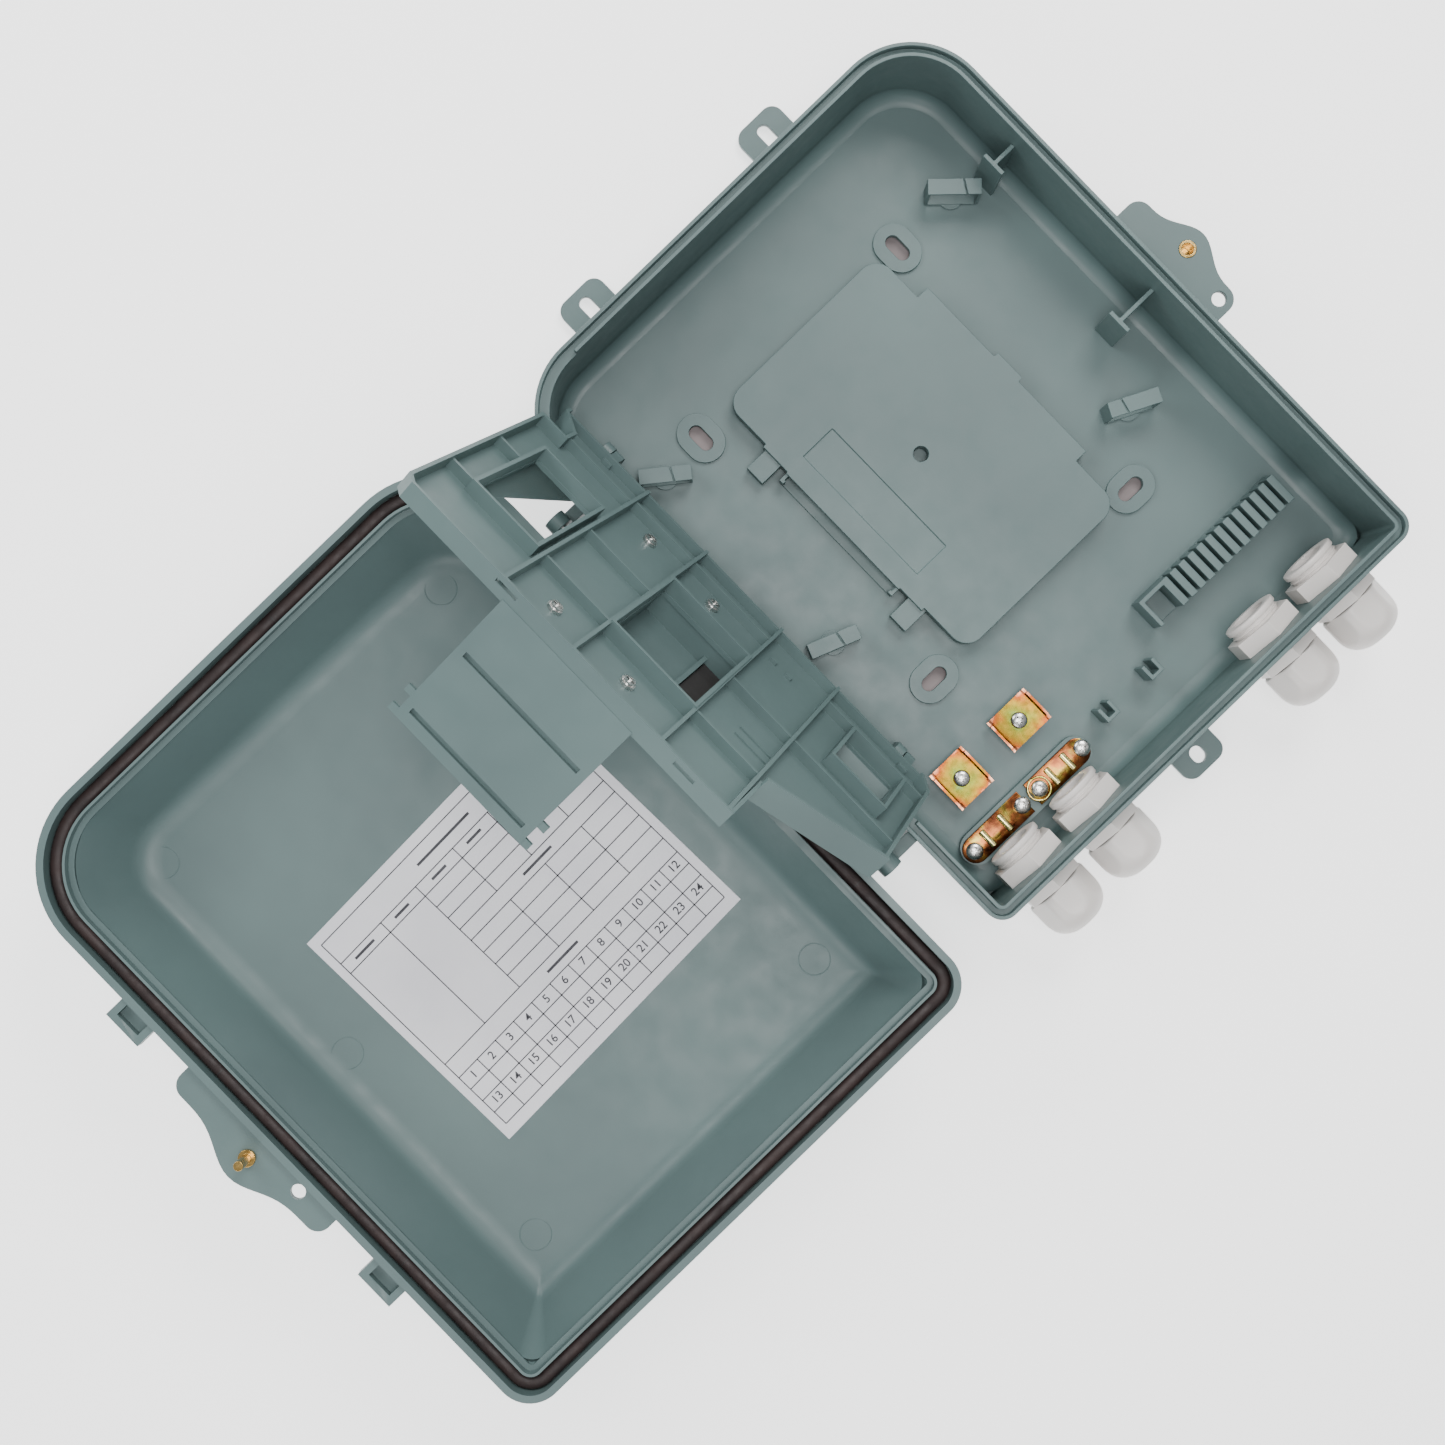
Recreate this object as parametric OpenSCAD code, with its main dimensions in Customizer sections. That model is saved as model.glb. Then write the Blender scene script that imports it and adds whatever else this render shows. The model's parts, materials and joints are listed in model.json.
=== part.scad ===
// Fiber termination box: base, hinged cover, hinged adapter panel, splice tray and cable fixings.
// Millimetres. Origin at the centre of the base's back face, +X towards the cable glands,
// +Y towards the latch, +Z out of the wall. Cover and panel are drawn open.

/* [Base] */
// Length of the base over its rim, along X
base_len = 376; // [374:1:380]
// Width of the base over its rim, along Y
base_wid = 300; // [298:1:304]
// Height from back face to rim
base_h = 62; // [61:1:64]
// Floor thickness
floor_t = 3; // [2.5:0.5:3.5]
// Wall thickness below the rim
wall_t = 4; // [3.5:0.5:4.5]
// Corner radius at the rounded end
r_round = 45; // [42:1:46]
// Corner radius at the gland end
r_cable = 10; // [8:1:12]

/* [Cover] */
// How far the cover's skirt stands out past the base's rim
cover_over = 9; // [8:0.5:10]
// Height of the closed cover above the base's rim
cover_rise = 48.5; // [48:0.5:52]
// Height of the hinge axis above the back face
hinge_z = 68; // [67:1:69]
// Distance of the cover's hinge axis from the centre line
hinge_y = 169.5; // [169:0.5:171]
// Distance of each hinge from the middle
hinge_x = 110; // [100:1:115]

/* [Adapter panel] */
// Distance of the panel's axis from the centre line
panel_y = 124; // [122:1:124]
// Height of the panel's axis
panel_z = 29; // [29:0.5:30]
// Angle the panel stands open
panel_open = 117.5; // [90:0.5:118]
// Length of the slotted flange
flange_len = 77; // [60:1:77]

/* [Cable glands] */
// Distances of the gland axes from the centre line
gland_y = [105, 62, -70, -113];
// Height of the gland axes
gland_z = 32; // [30:1:34]
// Diameter of the gland thread
gland_d = 28.3; // [26:0.1:28.6]
// Bore of the gland body
gland_bore = 19.6; // [18:0.1:20]
// Bore of the rubber seal
seal_bore = 13; // [10:0.5:14]

/* [Hidden] */

$fn = 64;
body_grey = [0.46, 0.55, 0.54];
gland_grey = [0.80, 0.78, 0.76];
gasket_brown = [0.13, 0.09, 0.08];
zinc_yellow = [0.72, 0.62, 0.34];
steel = [0.75, 0.75, 0.73];
brass = [0.76, 0.62, 0.30];
paper = [0.84, 0.83, 0.85];

half_len = base_len / 2;
half_wid = base_wid / 2;

// Rim: outer ridge, groove and inner ridge
rim_low = base_h - 10;
rim_over = 3.5;
rim_wide = rim_over + wall_t;
groove_in = 2.05;
groove_wide = 3.4;
groove_deep = 5;
ridge_cut = 3;
ridge_cut_x = 118;
cavity_x = half_len - rim_wide;
cavity_y = half_wid - rim_wide;

// Cover, in its closed place
skirt_drop = 6;
skirt_t = 4;
skirt_top = base_h + 7.2;
channel_z = base_h + 4.3;
lip_centre = groove_in + groove_wide / 2;
lip_t = 1.4;
lip_drop = 1.5;
gasket_wide = 7.4;
cover_top = base_h + cover_rise;
cover_t = 2.5;
cover_slope = 24;
cover_inner_z = cover_top - cover_t;
latch_x = 1.5;
latch_y = half_wid + 20.5;
seal_hole = [32, half_wid + 14.2];
seal_d = 8;
tab_z = base_h - 2;
tab_t = 4;

// Hinges
knuckle_r = 6;
pin_d = 5;
knuckle_half = 7.5;
ear_gap = 9;
ear_t = 7;

// Panel: w runs from the axis to the free edge, ribs are on the side t < 0
plate_t = 2.5;
rib_t = 2;
rib_h = 7.5;
low_rib_h = 5.5;
flap_h = 12.5;
panel_pin_d = 4;
post_x = [-140, 84];
post_t = 6;
panel_near = 13;
panel_far = 192;
panel_points = [[-165, panel_near], [104, panel_near], [112, 24], [113, 122], [44, 155], [43, panel_far],
  [-163, panel_far], [-168, 187], [-169, 41], [-152, 41], [-152, 31], [-165, 18]];
screw_spots = [[-83, 43], [-36.5, 43], [-81, 166], [-33, 166]];
window_left = [-150, -110];
window_mid = [-58, -5];
window_w = [69, 146];
mid_bar_x = -19;
collar_x = [61, 96];
collar_w = [38, 76];
pocket_deep = 13;
collar_deep = 12;

// Glands along X
nut_from = cavity_x - 9.5;
pad_face = half_len;
washer_t = 2;
collar_t = 6;
collar_to = pad_face + washer_t + collar_t;
seal_from = collar_to + 3;
seal_to = collar_to + 22;
cap_to = collar_to + 26;

// Fixings on the floor
tray_low = floor_t + 0.5;
tray_top = 12.6;
clip_spots = [[-110, 110.5, 47], [41, 99.5, 64], [-108, -109, 52], [21, -106, 69]];
clip_tops = [25, 25, 17.2, 17.2];
clip_slits = [5.8, -5.8, 3.8, 3.8];
clip_len = 29;
clip_w = 8.5;
clip_t = 1.6;
earth_x = 156.5;
earth_ends = [-44, -137];
earth_strip_ends = [[-44.5, -86], [-91, -136.5]];
earth_screw_y = [-49, -81, -94, -130];
clamp_spots = [[122, -63], [123, -107.5]];
clamp_sizes = [[22, 28], [26, 24]];
boss_top = 9;
comb_x = [120, 138];
comb_pitch = 6.6;
comb_slat = 4.4;
comb_top = 23;
slot_x_round = -110;
slot_x_cable = 74;
slot_y = [-80, 70];
slot_len = 16;
slot_d = 8;

// ---- Outlines -------------------------------------------------------------------------------

// Rounded plan outline, inset from the base's rim by d (negative goes outwards)
module outline(d, round_r = r_round, cable_r = r_cable) {
  x = half_len - d;
  y = half_wid - d;
  a = max(round_r - d, 3);
  b = max(cable_r - d, 2);
  polygon([[-x + a, y], [x - b, y], [x, y - b], [x, b - y], [x - b, -y], [-x + a, -y], [-x, a - y], [-x, y - a]]);
  for (s = [-1, 1]) {
    translate([a - x, s * (y - a)]) circle(r = a);
    translate([x - b, s * (y - b)]) circle(r = b);
  }
}

module ring(d_out, d_in) {
  difference() {
    outline(d_out);
    outline(d_in);
  }
}

// Points along a quarter circle that starts at the angle from
function quarter(x, y, r, from, steps = 20) =
  [for (i = [0 : steps]) [x + r * cos(from + 90 * i / steps), y + r * sin(from + 90 * i / steps)]];

// The same outline as one run of points
function outline_points(d) =
  let (x = half_len - d, y = half_wid - d, a = r_round - d, b = r_cable - d)
  concat(quarter(x - b, y - b, b, 0), quarter(a - x, y - a, a, 90),
    quarter(a - x, a - y, a, 180), quarter(x - b, b - y, b, 270));

// Outline of a latch tab: round shoulders at y1 and a smooth hump between them
module lobed_tab(half, y0, y1, hump, power) {
  r = 8;
  span = half - r;
  polygon(concat([[half, y0]], quarter(span, y1 - r, r, 0, 8),
    [for (i = [11 : -1 : -11]) [span * i / 12, y1 + hump * pow(cos(90 * i / 12), power)]],
    quarter(-span, y1 - r, r, 90, 8), [[-half, y0]]));
}

module stadium(len, d) {
  square([len - d, d], center = true);
  for (s = [-1, 1]) translate([s * (len - d) / 2, 0]) circle(d = d);
}

module along_x(from, len) {
  translate([from, 0, 0]) rotate([90, 0, 90]) linear_extrude(len) children();
}

module rod_x(from, len, d) {
  translate([from, 0, 0]) rotate([0, 90, 0]) cylinder(d = d, h = len);
}

module block(x, y, z) {
  translate([x[0], y[0], z[0]]) cube([x[1] - x[0], y[1] - y[0], z[1] - z[0]]);
}

module bar2d(p, q, t) {
  side = t / norm(q - p) * [p[1] - q[1], q[0] - p[0]];
  polygon([p, q, q + side, p + side]);
}

module pan_screw(d, head_d, head_h, len) {
  slot_w = head_d * 0.14;
  slot_l = head_d * 0.62;
  difference() {
    union() {
      translate([0, 0, -len]) cylinder(d = d, h = len + 0.5, $fn = 32);
      cylinder(d = head_d, h = head_h * 0.6, $fn = 48);
      cylinder(d = head_d * 0.8, h = head_h, $fn = 48);
    }
    for (a = [0, 90])
      rotate(a) translate([-slot_l / 2, -slot_w / 2, head_h * 0.35]) cube([slot_l, slot_w, head_h]);
  }
}

// ---- Base: one moulding, drawn as its walls, its floor and its posts ---------------------------

module base_shell() {
  color(body_grey)
  difference() {
    union() {
      difference() {
        union() {
          translate([0, 0, floor_t]) linear_extrude(rim_low + 1 - floor_t) outline(rim_over);
          translate([0, 0, rim_low]) linear_extrude(base_h - rim_low) outline(0);
        }
        translate([0, 0, floor_t - 1]) linear_extrude(base_h) outline(rim_wide);
        translate([0, 0, base_h - groove_deep]) linear_extrude(base_h)
          ring(groove_in, groove_in + groove_wide);
        ridge_relief();
      }
      hinge_ears();
      base_latch_tab();
      gland_pads();
    }
    for (y = gland_y) translate([0, y, gland_z]) rod_x(cavity_x - 5, 20, gland_d + 0.4);
    translate([0, -hinge_y, hinge_z]) rod_x(-hinge_x - 20, 2 * hinge_x + 40, pin_d + 0.04);
  }
}

module base_floor() {
  color(body_grey)
  difference() {
    union() {
      linear_extrude(floor_t) outline(rim_over);
      mount_ears();
      floor_features();
    }
    for (y = slot_y) {
      translate([slot_x_round, y, -1]) linear_extrude(10) stadium(slot_len, slot_d);
      translate([slot_x_cable, y, -1]) linear_extrude(10) rotate(90) stadium(slot_len, slot_d);
    }
    for (p = clamp_spots) translate([p[0], p[1], floor_t]) cylinder(d = 4.1, h = boss_top, $fn = 32);
  }
}

// The inner ridge is left out on the hinge side, where the open panel leans over the rim
module ridge_relief() {
  intersection() {
    translate([0, 0, base_h - groove_deep]) linear_extrude(base_h) ring(rim_wide - ridge_cut, rim_wide + 1);
    block([-half_len, ridge_cut_x], [-half_wid, -half_wid + r_round + 4], [base_h - groove_deep - 1, base_h + 1]);
  }
}

module ear_plate(tip, y) {
  r = 7;
  s = sign(tip);
  root = s * (half_len - rim_over);
  linear_extrude(4) {
    polygon([[root, y[0] - 4], [root, y[1] + 4], [s * (half_len + 10), y[1]],
      [tip - s * r, y[1]], [tip - s * r, y[0]], [s * (half_len + 10), y[0]]]);
    translate([min(tip - s * r, tip), y[0] + r]) square([r, y[1] - y[0] - 2 * r]);
    for (c = [y[0] + r, y[1] - r]) translate([tip - s * r, c]) circle(r = r);
  }
}

module mount_ears() {
  difference() {
    union() {
      ear_plate(-216, [47, 77]);
      ear_plate(-216, [-89, -59]);
      ear_plate(214, [-18.6, 9.4]);
    }
    for (y = [62, -74]) translate([-203, y, -1]) linear_extrude(6) stadium(16, 7.4);
    translate([204.5, -4.6, -1]) linear_extrude(6) stadium(10, 8);
  }
}

module hinge_ears() {
  for (side = [-1, 1], s = [-1, 1]) {
    from = side * hinge_x + (s > 0 ? ear_gap : -ear_gap - ear_t);
    along_x(from, ear_t) {
      translate([-hinge_y, hinge_z]) circle(r = knuckle_r);
      translate([-hinge_y - knuckle_r, rim_low - 12]) square([2 * knuckle_r, hinge_z - rim_low + 12]);
      translate([-hinge_y, rim_low - 12]) square([hinge_y - cavity_y - 2, 12]);
    }
  }
}

module base_latch_tab() {
  y0 = cavity_y + 1;
  difference() {
    union() {
      translate([latch_x, 0, 40]) linear_extrude(4) lobed_tab(38.5, y0, half_wid + 22, 10.3, 3);
      translate([latch_x, latch_y, 28]) cylinder(d = 13, h = 16);
      for (x = [-20, 22]) block([x - 1.5, x + 1.5], [y0, y0 + 24], [30, 41]);
      block([latch_x - 2, latch_x + 2], [y0, latch_y - 5], [28, 41]);
    }
    translate([latch_x, latch_y, 31]) cylinder(d = 9.4, h = 20);
    translate([seal_hole[0], seal_hole[1], 38]) cylinder(d = seal_d, h = 10);
  }
}

module gland_pads() {
  for (y = gland_y)
    block([cavity_x + 1, pad_face], [y - 20.5, y + 20.5], [10, rim_low + 1]);
}

module floor_features() {
  // raised ovals round the floor slots
  for (y = slot_y) {
    translate([slot_x_round, y, floor_t - 1]) linear_extrude(3) stadium(29, 22.5);
    translate([slot_x_cable, y, floor_t - 1]) linear_extrude(3) rotate(90) stadium(29, 22.5);
  }
  // bosses under the cable clamps
  for (p = clamp_spots) translate([p[0], p[1], floor_t - 1]) cylinder(d = 13, h = boss_top - floor_t + 1);
  // feet of the splice tray
  for (x = [-100, 60], y = [-44, 44]) translate([x, y, floor_t - 1]) cylinder(d = 9, h = tray_low - floor_t + 1);
}

// Stiffening ribs on the latch-side wall
module wall_ribs() {
  for (rib = [[-102, 127], [4, 117]]) {
    block([rib[0] - 1.2, rib[0] + 1.2], [rib[1] + 1, cavity_y], [floor_t, 44]);
    block([rib[0] - 7, rib[0] + 7], [rib[1], rib[1] + 2.4], [floor_t, 44]);
  }
}

// Two posts that carry the panel's pins, two hook posts and the wall ribs
module floor_posts() {
  color(body_grey) {
    wall_ribs();
    difference() {
      for (x = post_x) along_x(x, post_t) {
        translate([-panel_y, panel_z]) circle(r = 5);
        translate([-panel_y - 5, floor_t]) square([10, panel_z - floor_t]);
      }
      for (x = post_x) translate([0, -panel_y, panel_z]) rod_x(x - 1, post_t + 2, panel_pin_d + 0.04);
    }
    for (y = [7, -26]) translate([151, y, floor_t]) linear_extrude(20) difference() {
      square(9, center = true);
      translate([-1.5, 0]) square([8, 4.6], center = true);
    }
  }
}

// ---- Cover ----------------------------------------------------------------------------------

// Swings a part from its closed place to fully open
module opened() {
  translate([0, -2 * hinge_y, 2 * hinge_z]) rotate([180, 0, 0]) children();
}

// Solid dome: d is the inset of its foot, low and top are its heights
module dome(d, low, top) {
  hull() {
    translate([0, 0, low]) linear_extrude(1) outline(d, $fn = 32);
    translate([0, 0, top - 7]) linear_extrude(1) outline(d + cover_slope - 6, r_round + 8, $fn = 32);
    translate([0, 0, top - 2.6]) linear_extrude(0.6) outline(d + cover_slope - 2.5, r_round + 6, $fn = 32);
    translate([0, 0, top - 0.5]) linear_extrude(0.5) outline(d + cover_slope + 2, r_round + 6, $fn = 32);
  }
}

module cover_closed() {
  difference() {
    union() {
      translate([0, 0, base_h - skirt_drop]) linear_extrude(skirt_top - base_h + skirt_drop)
        ring(-cover_over, -cover_over + skirt_t);
      translate([0, 0, channel_z]) linear_extrude(skirt_top - channel_z) ring(-cover_over + 1, rim_wide);
      translate([0, 0, base_h - lip_drop]) linear_extrude(channel_z - base_h + lip_drop + 2)
        ring(lip_centre - lip_t / 2, lip_centre + lip_t / 2);
      difference() {
        dome(lip_centre + 1 - cover_t, channel_z, cover_top);
        dome(lip_centre + 1, base_h, cover_inner_z);
      }
      cover_knuckles();
      cover_latch_tab();
      hook_clips();
    }
    translate([latch_x, latch_y, tab_z - 5]) cylinder(d = 5.6, h = 20);
    translate([seal_hole[0], seal_hole[1], tab_z - 5]) cylinder(d = seal_d, h = 20);
    translate([0, -hinge_y, hinge_z]) rod_x(-hinge_x - 20, 2 * hinge_x + 40, pin_d + 0.14);
  }
}

module cover_knuckles() {
  for (side = [-1, 1]) along_x(side * hinge_x - knuckle_half, 2 * knuckle_half) {
    translate([-hinge_y, hinge_z]) circle(r = knuckle_r);
    translate([-hinge_y, hinge_z - 5]) square([hinge_y - half_wid - cover_over + 2, 7]);
  }
}

module cover_latch_tab() {
  translate([latch_x, 0, tab_z]) linear_extrude(tab_t)
    lobed_tab(54.5, half_wid + cover_over - 2, half_wid + 23.5, 11.3, 4);
}

module hook_clips() {
  for (x = [-90, 95]) difference() {
    block([x - 11.5, x + 11.5], [half_wid + cover_over - 2, half_wid + cover_over + 12], [base_h - 4, base_h + 4]);
    block([x - 7.5, x + 7.5], [half_wid + cover_over + 1, half_wid + cover_over + 8], [base_h - 5, base_h + 1.5]);
  }
}

module cover_shell() {
  color(body_grey) opened() cover_closed();
}

module cover_gasket() {
  d = lip_centre - lip_t / 2 - 0.3;
  color(gasket_brown) opened()
    translate([0, 0, base_h + 0.3]) linear_extrude(channel_z - base_h - 0.3) difference() {
      polygon(outline_points(d - gasket_wide));
      polygon(outline_points(d));
    }
}

module record_card() {
  color(paper) opened()
    translate([13, -8, cover_inner_z - 0.5]) rotate(-2) translate([-75.5, -89.5, 0]) cube([151, 179, 0.5]);
}

module hinge_pin(side) {
  color(steel) translate([0, -hinge_y, hinge_z])
    rod_x(side * hinge_x - ear_gap - ear_t, 2 * (ear_gap + ear_t), pin_d);
}

// Captive closing screw in the cover's tab
module latch_screw() {
  color(brass) opened() translate([latch_x, latch_y, 0]) {
    translate([0, 0, tab_z - 20]) cylinder(d = 5, h = 20 + tab_t + 1, $fn = 32);
    translate([0, 0, tab_z - 3]) cylinder(d = 9, h = 2.7, $fn = 48);
    difference() {
      translate([0, 0, tab_z + tab_t + 0.3]) cylinder(d = 12, h = 5, $fn = 48);
      translate([-7, -0.9, tab_z + tab_t + 3.5]) cube([14, 1.8, 3]);
    }
  }
}

module latch_insert() {
  color(brass) translate([latch_x, latch_y, 31]) difference() {
    cylinder(d = 9.36, h = 13.4);
    translate([0, 0, 2]) cylinder(d = 6.4, h = 15);
  }
}

// ---- Adapter panel --------------------------------------------------------------------------

module panel_place() {
  translate([0, -panel_y, panel_z]) rotate([panel_open, 0, 0]) children();
}

module rib(p, q, h = rib_h, t = rib_t) {
  translate([0, 0, -plate_t / 2 - h]) linear_extrude(h + 0.5) bar2d(p, q, t);
}

module frame_rib(x, w, h) {
  translate([0, 0, -plate_t / 2 - h]) linear_extrude(h + 0.5) difference() {
    translate([x[0] - rib_t, w[0] - rib_t]) square([x[1] - x[0] + 2 * rib_t, w[1] - w[0] + 2 * rib_t]);
    translate([x[0], w[0]]) square([x[1] - x[0], w[1] - w[0]]);
  }
}

module panel_window(x, w) {
  block(x, w, [-plate_t / 2 - 20, plate_t]);
}

module panel_ribs() {
  n = len(panel_points);
  for (i = [0 : n - 1])
    rib(panel_points[i], panel_points[(i + 1) % n], i == 3 ? flap_h : (i == 0 ? low_rib_h : rib_h));
  for (x = [-104, -60, -3, 40]) rib([x + 1, panel_near + 1], [x + 1, panel_far - 1]);
  // cross ribs between the long ones
  for (w = [30, 91, 143]) rib([-104, w], [-60, w], low_rib_h);
  for (w = [91, 143]) rib([-168, w], [window_left[0] - 1, w], low_rib_h);
  rib([-151, 34], [-104, 34], low_rib_h);
  // close the inner corners of the outline
  rib([-152, 43], [-152, 29]);
  rib([44, 151], [44, 155]);
  rib([-60, 30], [-3, 30], low_rib_h);
  rib([40, 30], [111, 30], low_rib_h);
  rib([-3, 91], [112, 91], low_rib_h);
  rib([-3, 143], [40, 143], low_rib_h);
  for (w = [114, 122]) rib([18, w], [40, w], 1, 1);
  frame_rib(window_left, window_w, rib_h);
  frame_rib(window_mid, window_w, rib_h + 1);
  frame_rib(collar_x, collar_w, rib_h + 1);
  for (x = [4, 15]) block([x, x + 4], [34, 38], [-plate_t / 2 - 2, 0]);
}

// Closed pocket behind the middle window, with low dividers on its floor
module panel_pocket() {
  t0 = plate_t / 2 - 1;
  difference() {
    block([window_mid[0] - rib_t, window_mid[1] + rib_t], [window_w[0] - rib_t, window_w[1] + rib_t],
      [t0, t0 + pocket_deep + 1.5]);
    block(window_mid, window_w, [t0 - 1, t0 + pocket_deep]);
  }
  block([mid_bar_x - 1.2, mid_bar_x + 1.2], [window_w[0] - 1, 132], [t0 + pocket_deep - 5, t0 + pocket_deep + 0.5]);
  block([window_mid[0] - 1, window_mid[1] + 1], [131, 133.5], [t0 + pocket_deep - 7, t0 + pocket_deep - 2.6]);
}

// Open box with a sloping lower wall and a bar across its far side
module panel_collar() {
  t0 = plate_t / 2 - 1;
  t1 = t0 + collar_deep;
  near = collar_w[0];
  far = collar_w[1];
  along_x(collar_x[0] - 1, collar_x[1] - collar_x[0] + 2)
    polygon([[near, t0], [near + 9, t1], [near + 10.8, t1], [near + 1.8, t0]]);
  for (x = [collar_x[0] - rib_t, collar_x[1]]) along_x(x, rib_t)
    polygon([[near, t0], [near + 9, t1], [far + rib_t, t1], [far + rib_t, t0]]);
  block([collar_x[0] - 1, collar_x[1] + 1], [far, far + rib_t], [t0, t1]);
  block([collar_x[0] - 1, collar_x[1] + 1], [near + 18, far - 7], [t1 - 2, t1]);
}

module panel_flange() {
  translate([-56, panel_far - 1, 0]) rotate([80, 0, 0]) difference() {
    union() {
      translate([-41.7, 0, -plate_t / 2]) cube([83.4, flange_len, plate_t]);
      translate([-46, flange_len - 16, -plate_t / 2 + 0.2]) cube([92, 16, plate_t - 0.4]);
    }
    for (s = [30, 68]) translate([-37, s, -5]) cube([74, 3, 10]);
    for (x = [-46.5, 41.7]) translate([x, flange_len - 12, -5]) cube([4.8, 8, 10]);
  }
}

module panel_body() {
  difference() {
    union() {
      translate([0, 0, -plate_t / 2]) linear_extrude(plate_t) polygon(panel_points);
      panel_ribs();
      for (p = screw_spots) translate([p[0], p[1], 0]) cylinder(d = 8, h = plate_t / 2 + 4, $fn = 32);
      for (x = post_x) {
        rod_x(x + post_t + 0.5, 6, 9);
        block([x + post_t + 0.5, x + post_t + 6.5], [0, panel_near + 4], [-4, 0]);
      }
    }
    panel_window([window_left[0] + 0.5, window_left[1] - 0.5], [window_w[0] + 0.5, window_w[1] - 0.5]);
    panel_window([window_mid[0] + 0.5, window_mid[1] - 0.5], [window_w[0] + 0.5, window_w[1] - 0.5]);
    panel_window([collar_x[0] + 0.5, collar_x[1] - 0.5], [collar_w[0] + 1.2, collar_w[1] - 0.5]);
    for (x = [-106, 8]) block([x, x + 13], [panel_far - 3, panel_far + 3], [-6, -4]);
    block([-152, -116], [window_w[0] - 18, window_w[0] - 16.5], [-5, 5]);
    for (p = screw_spots) translate([p[0], p[1], -20]) cylinder(d = 3.1, h = 40, $fn = 32);
    for (x = post_x) rod_x(x - 2, post_t + 12, panel_pin_d + 0.12);
  }
  panel_pocket();
  panel_collar();
  panel_flange();
}

module adapter_panel() {
  color(body_grey) panel_place() panel_body();
}

// Dark blank on the floor of the narrow part of the pocket
module port_blank() {
  gap = 0.3;
  floor_at = plate_t / 2 - 1 + pocket_deep;
  color([0.07, 0.06, 0.06]) panel_place()
    block([mid_bar_x + 1.2 + gap, window_mid[1] - gap], [window_w[0] + gap, window_w[1] - gap],
      [floor_at - 2, floor_at]);
}

module panel_pin(x) {
  color(steel) translate([0, -panel_y, panel_z]) rod_x(x, post_t + 6.5, panel_pin_d);
}

module panel_screws() {
  color(steel) panel_place() for (p = screw_spots)
    translate([p[0], p[1], -plate_t / 2]) rotate([180, 0, 0]) pan_screw(3, 8, 3, 5.5);
}

// ---- Splice tray ----------------------------------------------------------------------------

module tray_outline(d) {
  difference() {
    union() {
      translate([-114 + d, -58 + d]) square([189 - 2 * d, 115 - 2 * d]);
      translate([-82 + d, -60 + d]) square([124 - 2 * d, 124.6 - 2 * d]);
      translate([-63 + d, -66 + d]) square([88 - 2 * d, 60]);
    }
    for (x = [-114, 75], y = [-58, 57]) translate([x, y]) corner_cut(x > 0 ? -1 : 1, y > 0 ? -1 : 1, 11 + d);
  }
}

module corner_cut(sx, sy, r) {
  difference() {
    translate([sx > 0 ? -1 : -r, sy > 0 ? -1 : -r]) square(r + 1);
    translate([sx * r, sy * r]) circle(r = r);
  }
}

module splice_tray() {
  color(body_grey) {
    difference() {
      translate([0, 0, tray_low]) linear_extrude(tray_top - tray_low) tray_outline(0);
      translate([0, 0, tray_low + 1.5]) linear_extrude(20) tray_outline(2);
      block([-60, 22], [-70, -62], [tray_low + 1.5, 20]);
    }
    translate([-19.5, -1, tray_low + 1]) linear_extrude(tray_top - tray_low - 1) difference() {
      circle(d = 13);
      circle(d = 8.5);
    }
    for (x = [-74, 38]) block([x - 6, x + 6], [-74, -58], [tray_low, 12]);
  }
}

module splice_tray_lid() {
  color(body_grey) translate([0, 0, tray_top]) difference() {
    union() {
      linear_extrude(2) difference() {
        tray_outline(0);
        translate([-64, -70]) square([90, 9]);
      }
      translate([-30, 63, 0]) cube([19, 4.5, 2]);
    }
    translate([-19.5, -1, -1]) cylinder(d = 8.5, h = 4);
    translate([-63, -48, 1.2]) cube([89, 22, 2]);
  }
}

module splice_holder() {
  color(gland_grey) for (y = [-46, 20]) translate([-62, y, tray_low + 1.5]) {
    cube([85, 26, 1.2]);
    for (i = [0 : 6]) translate([0, i * 4, 0]) cube([85, 1.6, 6]);
  }
}

// ---- Cable fixings --------------------------------------------------------------------------

// Loop of flat strip on the floor, with a slit in its top to lay fibre through
module fiber_clip(i) {
  spot = clip_spots[i];
  high = clip_tops[i] - floor_t;
  color(body_grey) translate([spot[0], spot[1], floor_t]) rotate(spot[2]) {
    cylinder(d = 14, h = 1.2, $fn = 48);
    difference() {
      block([-clip_len / 2, clip_len / 2], [-clip_w / 2, clip_w / 2], [0, high]);
      block([clip_t - clip_len / 2, clip_len / 2 - clip_t], [-clip_w, clip_w], [clip_t, high - clip_t]);
      translate([clip_slits[i], 0, high]) rotate(12) cube([1, 2 * clip_w, 4], center = true);
    }
  }
}

module cable_comb() {
  color(body_grey) {
    block(comb_x, [26, 128], [floor_t, floor_t + 3]);
    for (i = [0 : 12]) {
      y = 42.5 + i * comb_pitch;
      block(comb_x, [y, y + comb_slat], [floor_t + 1, comb_top]);
    }
    block(comb_x, [26, 28.5], [floor_t + 1, comb_top]);
    block([comb_x[0], comb_x[0] + 2.5], [26, 43], [floor_t + 1, comb_top]);
  }
}

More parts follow.
